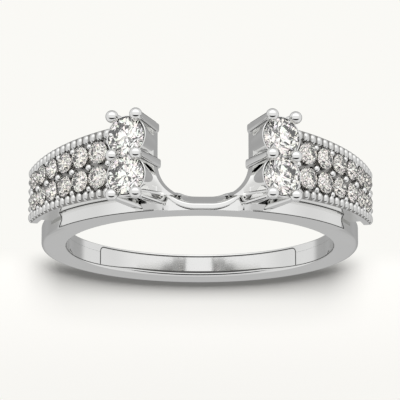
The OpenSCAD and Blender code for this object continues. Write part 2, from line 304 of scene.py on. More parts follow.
# %% The sheet's finish
GLOW_END = (0.0096, 0.0134)
GLOW_AGAIN = (0.026**2, 0.045**2)
SHEET_TONES = (0.91, 0.9, 0.87, 1), (0.92, 0.91, 0.88, 1)
SHEET_CLOUD = 40.0
NO_LIGHT = (0, 0, 0, 1)


def material(name):
    """A new, empty node material, and the wire of a point's place on the piece, in metres."""
    made = bpy.data.materials.new(name)
    made.use_nodes = True
    made.node_tree.nodes.clear()
    return made, Wire(made.node_tree).add("ShaderNodeTexCoord", out="Object")


def finished(made, place, values):
    """The material with one shader that takes these values."""
    shader = place.add("ShaderNodeBsdfPrincipled", (), values)
    shader.add("ShaderNodeOutputMaterial", (), {"Surface": shader})
    print(made.name, "nodes:", len(made.node_tree.nodes))
    return made


def floor_finish():
    """A pale sheet, faintly clouded, that glows up to the ring's heel and again farther out."""
    made, place = material("pale_floor")
    x, y = place.along((1.0, 0.0, 0.0)), place.along((0.0, 1.0, 0.0))
    glow = 1.0 - y.rise(*GLOW_END) * (1.0 - (x * x + y * y).rise(*GLOW_AGAIN))
    tone = place.noise(SHEET_CLOUD).mix(*SHEET_TONES)
    return finished(made, place, {
        "Base Color": glow.mix(tone, NO_LIGHT), "Roughness": 0.9, "Specular IOR Level": 0.0,
        "Emission Color": glow.mix(NO_LIGHT, PAPER), "Emission Strength": 1.0})


# %% [markdown]
# One flat quad is enough for the sheet, because nothing on it is curved. It stays out of
# the metal's reflections and the stones, where the tent alone shows.

# %% The sheet
FLOOR_HALF = 0.4
floor_mesh = bpy.data.meshes.new("floor")
corners = FLOOR_HALF * np.array([(-1, -1, 0), (1, -1, 0), (1, 1, 0), (-1, 1, 0)])
floor_mesh.from_pydata(corners.tolist(), [], [(0, 1, 2, 3)])
floor_mesh.materials.append(floor_finish())
floor = bpy.data.objects.new("floor", floor_mesh)
bpy.context.collection.objects.link(floor)
floor.visible_glossy = False
floor.visible_transmission = False
print("Sheet's side, m:", 2 * FLOOR_HALF)

# %% [markdown]
# The lamp stands low on the notch's side and shines past the heel. It is wide, so that the
# shadow's edge is soft, and its power makes the lit sheet as light as the glowing one.

# %% The lamp
LAMP_AT = (0.0, -0.42, 0.13)
LAMP_WIDE = 0.085
LAMP_WATTS = 6.55
lamp = bpy.data.objects.new("lamp", bpy.data.lights.new("lamp", "AREA"))
bpy.context.collection.objects.link(lamp)
lamp.location = LAMP_AT
lamp.rotation_euler = Vector(LAMP_AT).to_track_quat("Z", "Y").to_euler()
lamp.data.size = LAMP_WIDE
lamp.data.energy = LAMP_WATTS
lamp.visible_glossy = False
lamp.visible_transmission = False
print("Lamp at, m:", LAMP_AT)

# %% [markdown]
# White gold polished to a mirror still carries faint polishing lines and a slight cloud, and it is
# a little softer inside the hole, where the buff is small. Where no buff reaches, below the stones
# and between the milgrain's grains, it is rougher, and its colour is darker: painted shade for the
# shade that falls there. Painted textures would need a map for each piece. One function of a
# point's place and its distance from the finger's axis suits them all.

# %% Metal
POLISHED = (0.84, 0.84, 0.83, 1), (0.9, 0.9, 0.89, 1)
# The dark tones are painted shade, for below the stones and for the rims' tops between the grains.
PAINTED_SHADE_TONES = (0.3, 0.295, 0.285, 1), (0.42, 0.415, 0.4, 1)
POLISHED_ROUGH = 0.03
UNPOLISHED_ROUGH = 0.3
CLOUD_SCALE = 400.0
FINE_SCALE = 9000.0
FINE_DETAIL = 3.0
FINE_BUMP = {"Strength": 0.05, "Distance": 0.00001}
FINE_SOFT = 0.04
INSIDE_SOFT = 0.04
INSIDE_END = (8.78**2, 8.82**2)
DULL_SOFT = 0.2
DULL_FADE = 0.03
NOWHERE = 99.0
TO_MM = 1000


def metal_finish(name, tones, rough, rough_shade_from=NOWHERE):
    """Metal with a faint cloud in its colour and very fine polishing lines.

    It is a little softer inside the finger hole. Past a radius in millimetres it is rougher, and
    darker with painted shade.
    """
    made, place = material(name)
    fine = place.noise(FINE_SCALE, FINE_DETAIL)
    x = place.along((TO_MM, 0.0, 0.0))
    h = place.along(head_way * TO_MM) - float(front_middle @ head_way) * TO_MM
    from_axis = x * x + h * h
    inside = 1.0 - from_axis.rise(*INSIDE_END)
    rough_and_shaded = from_axis.rise((rough_shade_from - DULL_FADE) ** 2, rough_shade_from**2)
    # Past the radius the colour turns to the darkest tone of the painted shade.
    tone = rough_and_shaded.mix(place.noise(CLOUD_SCALE).mix(*tones), PAINTED_SHADE_TONES[0])
    bump = place.add("ShaderNodeBump", (), FINE_BUMP | {"Height": fine})
    softness = rough + fine * FINE_SOFT + inside * INSIDE_SOFT + rough_and_shaded * DULL_SOFT
    return finished(made, place, {
        "Base Color": tone, "Metallic": 1.0, "Roughness": softness, "Normal": bump})


metal = metal_finish("white_metal", POLISHED, POLISHED_ROUGH)
# The shoulders' floor: rougher metal, dark with painted shade.
unpolished_shaded = metal_finish("unpolished_metal", PAINTED_SHADE_TONES, UNPOLISHED_ROUGH)

# %% [markdown]
# Every metal piece is a grid of points that closes on itself: a profile carried along a
# path. One function gives the grid its faces, turns them outwards and keeps the creases
# that are sharper than a set angle. A grid's rows close in a loop, or end in two poles.

# %% From grids to metal
CREASE = np.radians(30)
MERGE_M = 1e-8


def grid_quads(rows, columns, loop):
    """Quads of a grid whose columns close: each point, the next one, and the next row's two."""
    index = np.arange(rows * columns).reshape(rows, columns)
    ahead = np.roll(index, -1, axis=0)
    quads = np.stack([index, np.roll(index, -1, 1), np.roll(ahead, -1, 1), ahead], -1)
    return (quads if loop else quads[:-1]).reshape(-1, 4)


def solid(name, shells, finish=metal):
    """One metal piece from shells: stacks of grids (copies, rows, columns, x h a) and loops."""
    points, faces, used = [], [], 0
    for grids, loop in shells:
        copies, rows, columns = grids.shape[:3]
        firsts = used + np.arange(copies)[:, None, None] * rows * columns
        faces.append((grid_quads(rows, columns, loop) + firsts).reshape(-1, 4))
        points.append(grids.reshape(-1, 3))
        used += copies * rows * columns
    mesh = bpy.data.meshes.new(name)
    mesh.from_pydata(laid(np.concatenate(points)).tolist(), [], np.concatenate(faces).tolist())
    shape = bmesh.new()
    shape.from_mesh(mesh)
    bmesh.ops.remove_doubles(shape, verts=shape.verts, dist=MERGE_M)
    bmesh.ops.recalc_face_normals(shape, faces=shape.faces)
    shape.to_mesh(mesh)
    shape.free()
    mesh.shade_smooth()
    mesh.set_sharp_from_angle(angle=CREASE)
    mesh.materials.append(finish)
    piece = bpy.data.objects.new(name, mesh)
    bpy.context.collection.objects.link(piece)
    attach(piece, "root")
    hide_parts("ring_body")
    print(name, "faces:", len(mesh.polygons))


# %% [markdown]
# A cast and polished edge is never sharp. A Bevel modifier could round it. Rounding the
# profile before it is carried costs fewer faces: an exact arc between two points of a
# corner is a weighted mean of three points, so whole stacks are rounded at once.

# %% Rounded profiles
CORNER_STEPS = 6
HOLD = 0.01


def unit(ways):
    """Ways of length one."""
    return ways / np.linalg.norm(ways, axis=-1, keepdims=True)


def arc(a, corner, b, t):
    """((1-t)^2 A + 2t(1-t)w C + t^2 B) over the sum of its weights, w the cosine of 45 degrees."""
    weights = (1 - t) ** 2, 2 * t * (1 - t) * np.sqrt(0.5), t**2
    return sum(w * p for w, p in zip(weights, (a, corner, b))) / sum(weights)


def rounded(corners, cuts):
    """Rounds polygons (..., corners, 2): at each corner, an arc that starts a cut before it.

    One more point on either side of each arc keeps the flat faces beside it flat in their
    shading.
    """
    corners = np.asarray(corners, float)
    cuts = np.broadcast_to(cuts, corners.shape[:-1])[..., None]
    to_last = unit(np.roll(corners, 1, -2) - corners)
    to_next = unit(np.roll(corners, -1, -2) - corners)
    a = corners + to_last * cuts
    b = corners + to_next * cuts
    t = np.linspace(0, 1, CORNER_STEPS)[:, None]
    arcs = arc(a[..., None, :], corners[..., None, :], b[..., None, :], t)
    holds = [(a + to_last * HOLD)[..., None, :], arcs, (b + to_next * HOLD)[..., None, :]]
    return np.concatenate(holds, -2).reshape(*corners.shape[:-2], -1, 2)


def profiles(*corners):
    """Stacks of polygons from their corners, whose values may be numbers or rows of numbers."""
    values = np.broadcast_arrays(*[value for corner in corners for value in corner])
    return np.stack(values, -1).reshape(*values[0].shape, -1, 2)


print("Points of a rounded square:", rounded([(0, 0), (1, 0), (1, 1), (0, 1)], 0.1).shape[0])

# %% [markdown]
# Three helpers place grids by angle and radius, mirror them and close their ends.

# %% Places on the ring


def polar(phi, r, a):
    """x = r sin phi, h = r cos phi and the depth a, where phi is degrees from the notch."""
    turn = np.radians(phi)
    return np.stack(np.broadcast_arrays(r * np.sin(turn), r * np.cos(turn), a), -1)


def both(grids):
    """A stack of grids and its mirror image on the ring's other side."""
    return np.concatenate([grids, grids * [-1, 1, 1]])


def capped(rows):
    """Rows of points with a pole at both ends: the mean of the end row."""
    middles = rows.mean(axis=-2, keepdims=True) * np.ones((rows.shape[-2], 1))
    return np.concatenate([middles[..., :1, :, :], rows, middles[..., -1:, :, :]], -3)


print("A quarter turn from the notch, at radius 10:", np.round(polar(90, 10, 0), 2))

# %% [markdown]
# The sizes below are the CAD model's own, so that each piece lies where the solid that it
# stands for lies. The notch's wall leans, so it is worked out for each height.

# %% Sizes of the shank and the notch, in millimetres and degrees
FINGER_R = hole["dims"]["r_mm"]
SHANK_R = FINGER_R + 1.6
SHANK_EXTRA = 0.35
EDGE_R = 0.3
CREASE_R = 0.04
BEVEL = 0.08
BRIDGE_R = FINGER_R + 1.5
CREST_R = FINGER_R + 1.85
CREST_FROM = 16.0
CREST_RISE = 3.0
CREST_TO = 58.8
NOTCH_CORNER = 2.05
NOTCH_FLAT = 0.55
NOTCH_FRONT = 1.26
FRONT_SLOPE = 0.5
SIDE_SLOPE = 0.35
print("Radii of hole, shank and raised part, mm:", FINGER_R, SHANK_R, CREST_R)

# %% The notch's wall


def notch_at(up):
    """Radius and middle of the notch's wall, which both grow with the height above the hole."""
    radius = NOTCH_CORNER + SIDE_SLOPE * up
    return radius, FRONT_SLOPE * up - NOTCH_FRONT - radius


def shank_back(phi, r):
    """Depth of the shank's back: the full width, or less where the notch's wall cuts in.

    The wall is a flat middle with a circle's arc on either side.
    """
    x = np.abs(r * np.sin(np.radians(phi)))
    radius, middle = notch_at(r * np.cos(np.radians(phi)) - FINGER_R)
    side = np.clip(x - NOTCH_FLAT, 0, None)
    wall = middle + np.sqrt(np.clip(radius**2 - side**2, 0, None))
    inside = (side < radius) & (np.abs(phi) < 90)
    return np.where(inside, np.maximum(wall, -SHANK_W), -SHANK_W)


bridge_w = -shank_back(0, np.array([FINGER_R, BRIDGE_R]))
print("Bridge's width at the hole and outside, mm:", np.round(bridge_w, 2))

# %% [markdown]
# The shank is a rounded band that is thicker at the bottom. Its upper part is raised and
# crisp, and ends in a small chevron. Inside, a long panel lies a hair deeper than the
# wall, with a seam at both ends. Booleans could cut these one by one. Instead each is a
# rule for one point of a profile that is carried once round the ring, so the faces run
# along the metal as its polish does.

# %% Rules of the shank's profile
CHEVRON = 2.0
CHEVRON_MID = -0.5
SOFT_EDGE = 0.24
SOFT_FROM = 110
SOFT_OVER = 40


def crest_end(a):
    """The angle at which the raised part ends, drawn back in a V at the chevron's middle."""
    return CREST_TO - CHEVRON * np.clip(1 - np.abs(a - CHEVRON_MID) / -CHEVRON_MID, 0, 1)


def shank_outer(phi, a):
    """Radius of the shank's outside: a circle round a lower middle, or the raised part."""
    turn = np.radians(phi)
    plain = np.sqrt(SHANK_R**2 - (SHANK_EXTRA * np.sin(turn)) ** 2) - SHANK_EXTRA * np.cos(turn)
    steps = [0, CREST_FROM - CREST_RISE, CREST_FROM]
    crest = np.interp(np.abs(phi), steps, [BRIDGE_R, BRIDGE_R, CREST_R])
    return np.where(np.abs(phi) < crest_end(a), np.maximum(plain, crest), plain)


def soft_edge(phi):
    """Width of the hole's front edge: a bevel that grows as a square towards the bottom."""
    return BEVEL + SOFT_EDGE * np.clip((np.abs(phi) - SOFT_FROM) / SOFT_OVER, 0, 1) ** 2


print("Shank's thickness at the notch and the bottom, mm:",
      np.round(shank_outer(np.array([0, 180]), 0) - FINGER_R, 2))

# %% Shank
PANEL_HALF = 48.6
PANEL_END = 180 - PANEL_HALF
PANEL_DEEP = 0.06
PANEL_BACK = -1.4
PANEL_CORNER = 0.35
PANEL_STEP = 0.02
SEAM_WIDE = 0.05
CREST_BACK = -0.97
CRISP_BACK = 30
MID_SHARE = 0.5
LATE_SHARE = 0.8
TINY_R = 0.008

# The angles lie close together at the notch, at the chevron and at the seam.
half_turn = np.unique(np.concatenate([
    np.arange(0, 180.1, 1.5), np.arange(12, 24, 0.3), np.arange(56, 60, 0.1),
    PANEL_END + np.arange(-0.4, 3, 0.1)]))
phi = np.concatenate([half_turn, -half_turn[-2:0:-1]])
mid_r = (FINGER_R + SHANK_R) / 2
inner_back = shank_back(phi, FINGER_R)
outer_back = shank_back(phi, shank_outer(phi, -SHANK_W))
mid_a = np.maximum(CHEVRON_MID, outer_back * MID_SHARE)
late_a = np.maximum(CREST_BACK, outer_back * LATE_SHARE)
in_panel = (PANEL_HALF - (180 - np.abs(phi))) / 180 * np.pi * FINGER_R
panel_r = FINGER_R + np.where(in_panel > 0, PANEL_DEEP, 0.0)
corner = np.clip(PANEL_CORNER - in_panel, 0, PANEL_CORNER)
panel_back = PANEL_BACK + PANEL_CORNER - np.sqrt(PANEL_CORNER**2 - corner**2)
panel_back = np.maximum(panel_back, inner_back + 2 * BEVEL)
panel_front = -soft_edge(phi) - SEAM_WIDE
profile = profiles(
    (FINGER_R, 0.0), (shank_outer(phi, 0.0), 0.0),
    (shank_outer(phi, CHEVRON_MID), mid_a), (shank_outer(phi, CREST_BACK), late_a),
    (shank_outer(phi, -SHANK_W), outer_back), (mid_r, shank_back(phi, mid_r)),
    (FINGER_R, inner_back), (FINGER_R, panel_back), (panel_r, panel_back + PANEL_STEP),
    (panel_r, panel_front), (FINGER_R, panel_front + PANEL_STEP))
front_cut = np.where(np.abs(phi) < CREST_TO, CREASE_R, EDGE_R)
back_cut = np.where(np.abs(phi) < CRISP_BACK, CREASE_R, EDGE_R)
cuts = [soft_edge(phi), front_cut, TINY_R, TINY_R, back_cut, TINY_R, BEVEL] + [TINY_R] * 4
section = rounded(profile, np.stack(np.broadcast_arrays(*cuts), -1))
solid("shank", [(polar(phi[:, None], section[..., 0], section[..., 1])[None], True)])

# %% [markdown]
# A raised rail runs along the notch's edge on the bridge, wide in the middle and thin at
# its ends. A curve with a bevel would keep one form, so the points follow the notch's wall
# themselves: an arc, a short straight and an arc, set off from it and lifted to a radius.

# %% Rail
RAIL_R = BRIDGE_R + 0.22
RAIL_FOOT = FINGER_R + 1.2
RAIL_W = 0.38
RAIL_END = 0.3
RAIL_TURN = 62
RAIL_LAP = 0.01
RAIL_SPLAY = 0.02
RAIL_CUTS = [0.02, 0.06, 0.09, 0.02]
ARC_STEPS = 40
SETTLE_ROUNDS = 5


def beside_notch(turn, step, off, r):
    """Points beside the notch: turn is the arc's angle from the front, step the straight's share.

    x is the straight's share plus the arc's sine, and the height follows from x on the
    radius r, which the notch's own radius depends on, so a few rounds settle both.
    """
    up = r - FINGER_R + np.zeros_like(turn)
    for _ in range(SETTLE_ROUNDS):
        radius, middle = notch_at(up)
        x = step * NOTCH_FLAT + (radius + off) * np.sin(turn)
        up = np.sqrt(r**2 - x**2) - FINGER_R
    return np.stack([x, up + FINGER_R, middle + (radius + off) * np.cos(turn)], -1)


half_rail = np.linspace(0, RAIL_TURN, ARC_STEPS)
rail_turn = np.radians(np.concatenate([-half_rail[::-1], half_rail]))
rail_step = np.repeat([-1.0, 1.0], ARC_STEPS)
taper = np.cos(rail_turn / np.radians(RAIL_TURN) * np.pi / 2)
rail_w = RAIL_W * (RAIL_END + (1 - RAIL_END) * taper)
profile = profiles((-RAIL_LAP, RAIL_FOOT), (RAIL_SPLAY, RAIL_R),
                   (rail_w, RAIL_R), (rail_w + RAIL_SPLAY, RAIL_FOOT))
section = rounded(profile, RAIL_CUTS)
rail = beside_notch(rail_turn[:, None], rail_step[:, None], section[..., 0], section[..., 1])
solid("notch_rail", [(capped(rail)[None], False)])

# %% [markdown]
# Many pieces are turned: claws with ball tips, collets, beads. A Screw modifier turns one
# at a time. Here a profile of radii and heights is carried round an axis for all copies at
# once, and may be stretched sideways or drawn out towards a square.

# %% Turned pieces


def turned(origins, ups, asides, radii, heights, count=16, wide=1.0, square=0.0):
    """origin + height * up + radius * (wide * cos * aside + sin * the third way).

    Square says for each row how far the circle is drawn out to a square with soft corners:
    there the radius grows by one over the fourth root of cos^4 + sin^4.
    """
    origins, ups = np.broadcast_arrays(origins, ups)
    asides = unit(asides - np.sum(asides * ups, -1, keepdims=True) * ups)
    others = np.cross(ups, asides)
    angle = np.linspace(0, 2 * np.pi, count, endpoint=False)[:, None]
    ring = wide * np.cos(angle) * asides[:, None] + np.sin(angle) * others[:, None]
    radii = np.broadcast_to(radii, (len(ups), np.shape(radii)[-1]))
    heights = np.broadcast_to(heights, radii.shape)
    middle = origins[:, None] + heights[..., None] * ups[:, None]
    corners = (np.cos(angle[:, 0]) ** 4 + np.sin(angle[:, 0]) ** 4) ** -0.25 - 1
    radii = radii[..., None] * (1 + np.reshape(square, (-1, 1)) * corners)
    return middle[:, :, None] + radii[..., None] * ring[:, None]


def ball(radius, rings):
    """Radii and heights of a sphere from pole to pole."""
    t = np.linspace(0, np.pi, rings)
    return radius * np.sin(t), -radius * np.cos(t)


print("Radii of a small ball:", np.round(ball(1.0, 5)[0], 2))

# %% [markdown]
# A piece with a drilled hole is a cell: its outline on top, carried in to the hole's rim,
# down the hole and back out underneath. Points between rim and outline lie on a straight
# line, so a square turns into a round hole with clean quads, where a boolean would leave
# slivers.

# %% Drilled cells
CELL_SIDE = 12
CELL_STEPS = 4


def outline(corners):
    """Points round a cell of four corners, given as turn and depth, evenly along each side."""
    corners = np.asarray(corners, float)[:, None]
    t = np.linspace(0, 1, CELL_SIDE, endpoint=False)[:, None]
    return (corners + t * (np.roll(corners, -1, 0) - corners)).reshape(-1, 2)


def drilled(top, low, middle, radius, top_r, low_r):
    """A closed cell from outlines in mm of turn and depth, at two radii, round a drilled hole."""
    share = np.linspace(0, 1, CELL_STEPS)[:, None, None]
    grids = []
    for edge, r, order in ((top, top_r, 1), (low, low_r, -1)):
        rim = middle + radius * unit(edge - middle)
        layer = (rim + share * (edge - rim))[::order]
        grids.append(polar(np.degrees(layer[..., 0] / top_r), r, layer[..., 1]))
    return np.concatenate(grids)


print("Points round a cell:", len(outline([(0, 0), (1, 0), (1, 1), (0, 1)])))

# %% [markdown]
# The heads lean away from the notch, and the shoulders start beside them. Their sizes come
# together here, because each depends on the others.

# %% Sizes of the heads and the shoulders
BASE_IN = FINGER_R + 1.08
BASE_OUT = BASE_IN + 0.75
HEAD_X = 4.79
HEAD_Y = FINGER_R + 2.93
HEAD_MID = -3.09
HEAD_LEAN = np.radians(25)
STONE_D = 2.42
STONE_PITCH = 2.48
SEAT_GAP = 0.035
SEAT_R = STONE_D / 2 + SEAT_GAP
HOLE_SHARE = 0.6
HEAD_HOLE_R = HOLE_SHARE * SEAT_R
PLATE_FRONT = -0.95
PLATE_BACK = -5.42
PLATE_BACK_END = -4.5
RIM_R = FINGER_R + 2.54
FLOOR_R = RIM_R - 0.16
UNDER_R = FLOOR_R - 0.3
HEAD_ROOM = 1.3
PLATE_START = np.degrees(np.arctan2(HEAD_X, HEAD_Y) + HEAD_ROOM / RIM_R)
print("The shoulders start at, degrees:", round(PLATE_START, 2))

# %% [markdown]
# Behind the bridge stand the heads. Their base is a curved block on each side, cut by the
# notch's wall and drilled below both stones: two cells whose inner side is moved to the
# wall.

# %% Base of the heads
BASE_TURN = np.radians(17)
BASE_PAST = 3


def base_side(a, r):
    """Turn, in mm at the base's outside, of the notch's side wall at depths a on a radius r.

    The wall's x is the flat half plus the arc's reach, and its turn is the arcsine of x / r.
    """
    radius, middle = notch_at(r * np.cos(BASE_TURN) - FINGER_R)
    reach = np.sqrt(radius**2 - np.clip(a - middle, 0, radius) ** 2)
    return np.arcsin((NOTCH_FLAT + reach) / r) * BASE_OUT


def axis_turn(r):
    """Turn, in mm at the base's outside, at which a head's leaning axis crosses a radius."""
    past_middle = HEAD_X * np.cos(HEAD_LEAN) - HEAD_Y * np.sin(HEAD_LEAN)
    return (HEAD_LEAN + np.arcsin(past_middle / r)) * BASE_OUT


cells = []
far_u = np.radians(PLATE_START + BASE_PAST) * BASE_OUT
for low_a, high_a, row in ((PLATE_BACK, HEAD_MID, -1), (HEAD_MID, PLATE_FRONT, 1)):
    edges = []
    for r in (BASE_OUT, BASE_IN):
        edge = outline([(0, high_a), (far_u, high_a), (far_u, low_a), (0, low_a)])
        wall_u = base_side(edge[:, 1], r)
        edge[:, 0] = wall_u + edge[:, 0] / far_u * (far_u - wall_u)
        edges.append(edge)
    middle = np.array([axis_turn(BASE_OUT), HEAD_MID + row * STONE_PITCH / 2])
    cells.append(drilled(*edges, middle, HEAD_HOLE_R, BASE_OUT, BASE_IN))
solid("heads_base", [(both(np.stack(cells)), True)])

# %% [markdown]
# A shoulder is a thin curved plate with raised rims on three sides. Its paving stones get
# smaller away from the head, and its back edge leans with them. Their places come from
# their sizes and the gap between them, one after the other.

# %% Places of the paving stones
PAVE_N = 6
PAVE_D = 1.42
PAVE_LESS = 0.04
PAVE_GAP = 0.07
ROW_GAP = 0.16
PAVE_R = FLOOR_R + 0.25
RIM_W = 0.5
END_ROOM = 0.3
FIRST_RUN = 1.25
sizes = PAVE_D - PAVE_LESS * np.arange(PAVE_N)


def chord(width):
    """The angle at which a width spans the paving, in degrees."""
    return np.degrees(2 * np.arcsin(width / 2 / PAVE_R))


steps = chord((sizes[1:] + sizes[:-1]) / 2 + PAVE_GAP)
pave_phi = PLATE_START + np.degrees(FIRST_RUN / RIM_R) + np.concatenate([[0], np.cumsum(steps)])
PLATE_END = pave_phi[-1] + np.degrees((sizes[-1] / 2 + END_ROOM + RIM_W) / RIM_R)
plate_mid = (PLATE_START + PLATE_END) / 2
back_lean = (PLATE_BACK_END - PLATE_BACK) / 2 / np.sin(np.radians(PLATE_END - PLATE_START) / 2)


def plate_back(phi):
    """Depth of a shoulder's back edge: its middle plus a lean times the sine of the turn."""
    return back_lean * np.sin(np.radians(phi - plate_mid)) + (PLATE_BACK + PLATE_BACK_END) / 2


row_middle = (plate_back(pave_phi) + PLATE_FRONT) / 2
row_off = (sizes + ROW_GAP) / 2
print("Paving stones at, degrees:", np.round(pave_phi, 2))

# %% [markdown]
# The plate's floor is twelve drilled cells, one below each stone, cut midway between the stones.
# The round girdle of a stone stands above its hole on beads. No buff reaches down there, so the
# floor is rough, and it is dark with painted shade for the shade below and between the stones.

# %% Floor of the shoulders
RIM_LAP = 0.05
half_way = (pave_phi[1:] + pave_phi[:-1]) / 2
floor_end = PLATE_END - np.degrees((RIM_W - RIM_LAP) / RIM_R)
cut_phi = np.concatenate([[PLATE_START], half_way, [floor_end]])
cut_u = np.radians(cut_phi) * FLOOR_R
mid_line = (plate_back(cut_phi) + PLATE_FRONT) / 2
rear_line = plate_back(cut_phi) + RIM_W - RIM_LAP
front_line = np.full_like(cut_phi, PLATE_FRONT - RIM_W + RIM_LAP)
cells = []
for i in range(PAVE_N):
    stone_u = np.radians(pave_phi[i]) * FLOOR_R
    radius = HOLE_SHARE * (sizes[i] / 2 + SEAT_GAP)
    for low, high, row in ((rear_line, mid_line, -1), (mid_line, front_line, 1)):
        edge = outline([(cut_u[i], high[i]), (cut_u[i + 1], high[i + 1]),
                        (cut_u[i + 1], low[i + 1]), (cut_u[i], low[i])])
        middle = np.array([stone_u, row_middle[i] + row * row_off[i]])
        cells.append(drilled(edge, edge, middle, radius, FLOOR_R, UNDER_R))
solid("shoulder_floor", [(both(np.stack(cells)), True)], unpolished_shaded)

# %% [markdown]
# The rims run along the front, round the end's softened corners and back behind. They are
# one rounded section carried along that outline, moved in for each point of the section.
# Their sides are polished. Their tops, which the milgrain's wheel has rolled, are rougher, and
# darker with painted shade for the gaps between the grains.

# %% Rims of the shoulders
END_CUT = 0.35
LEAST_CUT = 0.04
RUN_STEPS = 70
CORNER_RUN = 10
RIM_CUTS = [0.04, 0.07, 0.05, 0.02]
RIM_SHADE_FROM = RIM_R - 0.02


def rim_path(inset):
    """The shoulder's outline, as turn in mm and depth, moved in: along the front, end and back."""
    cut = np.clip(END_CUT - inset, LEAST_CUT, None)
    start_u = np.radians(PLATE_START) * RIM_R
    end_u = np.radians(PLATE_END) * RIM_R - inset
    front_a = PLATE_FRONT - inset
    back_a = plate_back(np.degrees(end_u / RIM_R)) + inset
    run_u = start_u + np.linspace(0, 1, RUN_STEPS)[:, None] * (end_u - cut - start_u)
    front = np.stack([run_u, np.broadcast_to(front_a, run_u.shape)], -1)
    rear = np.stack([run_u, plate_back(np.degrees(run_u / RIM_R)) + inset], -1)[::-1]
    front_end = np.stack([end_u, front_a], -1)
    back_end = np.stack([end_u, back_a], -1)
    aft = np.stack([np.zeros_like(cut), cut], -1)
    t = np.linspace(0, 1, CORNER_RUN)[:, None, None]
    front_corner = arc(front[-1], front_end, front_end - aft, t)
    back_corner = arc(back_end + aft, back_end, rear[0], t)
    return np.concatenate([front[:-1], front_corner, back_corner, rear[1:]])


section = rounded([(0, UNDER_R), (0, RIM_R), (RIM_W, RIM_R), (RIM_W, UNDER_R)], RIM_CUTS)
path = rim_path(section[:, 0])
rim = polar(np.degrees(path[..., 0] / RIM_R), section[:, 1], path[..., 1])
# Past this radius the rims' tops are rougher and darker: painted shade for the gaps between the
# grains.
edged = metal_finish("edged_metal", POLISHED, POLISHED_ROUGH, RIM_SHADE_FROM)
solid("shoulder_rims", [(both(capped(rim)[None]), False)], edged)

# %% [markdown]
# Between the inner claws' feet and the raised strip the bridge swells into a small cheek
# with a steep front. A soft slope would mirror itself as a black patch, so it starts at
# the front edge and rises from the bridge's own radius. It is one profile, carried over a
# few degrees.

# %% Cheek between the claws' feet
CHEEK_FROM = 12.2
CHEEK_TO = 20.5
CHEEK_EASE = 4
CHEEK_RISE = 0.42
CHEEK_SINK = 0.02
CHEEK_CUT = 0.02
CHEEK_FOOT = 0.2
CHEEK_FACE = -0.04
CHEEK_LIP = -0.34
BAR_STEPS = 60

cheek_phi = np.linspace(CHEEK_FROM, CHEEK_TO, BAR_STEPS)
ease = np.clip((cheek_phi - CHEEK_FROM) / CHEEK_EASE, 0, 1)
ease = ease * ease * (3 - 2 * ease)
front_r = BRIDGE_R + (CREST_R - CHEEK_SINK - BRIDGE_R) * ease
top_r = BRIDGE_R + CHEEK_SINK + (CREST_R + CHEEK_RISE - BRIDGE_R) * ease
foot_r = BRIDGE_R - CHEEK_FOOT
rear = np.maximum(PLATE_FRONT - RIM_LAP, shank_back(cheek_phi, CREST_R) - CHEEK_FACE)
profile = profiles((foot_r, CHEEK_FACE), (front_r, CHEEK_FACE), (top_r, CHEEK_LIP),
                   (top_r, rear), (foot_r, rear - CHEEK_SINK))
section = rounded(profile, CHEEK_CUT)
cheek = capped(polar(cheek_phi[:, None], section[..., 0], section[..., 1]))
print("Cheek's height over the bridge, mm:", round(float(top_r.max() - BRIDGE_R), 2))

# %% [markdown]
# Webs carry the plates on the shank. They are hidden but for a narrow wall that shows in
# front, nearly flush with the plates' own. A low step carries each plate's start. All are
# curved bars of one rounded section.

# %% Webs and steps
BAR_CUT = 0.03
WEB_SINK = 0.6
WEB_LAP = 0.1
WEB_SHORT = 4.0
WALL_SHORT = 3.0
SET_BACK = 0.15
NEAR_FLUSH = 0.02
STEP_PHI = (-0.5, 3.6)


def bar(from_phi, to_phi, low_r, high_r, back_a, front_a):
    """A curved bar: a rounded rectangle of radius and depth carried from one angle to another."""
    corners = [(low_r, front_a), (high_r, front_a), (high_r, back_a), (low_r, back_a)]
    section = rounded(corners, BAR_CUT)
    phi = np.linspace(from_phi, to_phi, BAR_STEPS)[:, None]
    return capped(polar(phi, section[:, 0], section[:, 1]))


web_r = SHANK_R - WEB_SINK, UNDER_R + WEB_LAP
step_r = BASE_OUT - WEB_LAP, FLOOR_R - WEB_LAP
step_phi = PLATE_START + STEP_PHI[0], PLATE_START + STEP_PHI[1]
wall_a = PLATE_FRONT - NEAR_FLUSH
webs = np.stack([
    bar(PLATE_START, PLATE_END - WEB_SHORT, *web_r, -SHANK_W, PLATE_FRONT - SET_BACK),
    bar(PLATE_START, CREST_TO - WALL_SHORT, *web_r, -SHANK_W, wall_a),
    bar(*step_phi, *step_r, PLATE_BACK + RIM_LAP, wall_a)])
solid("shoulder_webs", [(both(webs), False), (both(cheek[None]), False)])

# %% [markdown]
# A head stands on two collets, cones whose bright panels show between the claws. Each is
# one closed profile, outer wall, rim, seat and drilled hole, turned round the stone's axis.

# %% Heads
COLLET_R = STONE_D / 2 + 0.12
COLLET_FOOT = 0.98
COLLET_DEEP = 2.25
SEAT_DEEP = 0.036
PAVILION = np.radians(41)
WALL_CUTS = [0.02, 0.035, 0.03, 0.005, 0.05, 0.02]
head_up = np.array([np.sin(HEAD_LEAN), np.cos(HEAD_LEAN), 0.0])
along_finger = np.array([0.0, 0.0, 1.0])


def on_head(side, up, a):
    """Points of a head's own frame, turned by its lean and moved to its place on the ring."""
    x = HEAD_X + side * np.cos(HEAD_LEAN) + up * np.sin(HEAD_LEAN)
    h = HEAD_Y - side * np.sin(HEAD_LEAN) + up * np.cos(HEAD_LEAN)
    return np.stack(np.broadcast_arrays(x, h, HEAD_MID + a), -1)


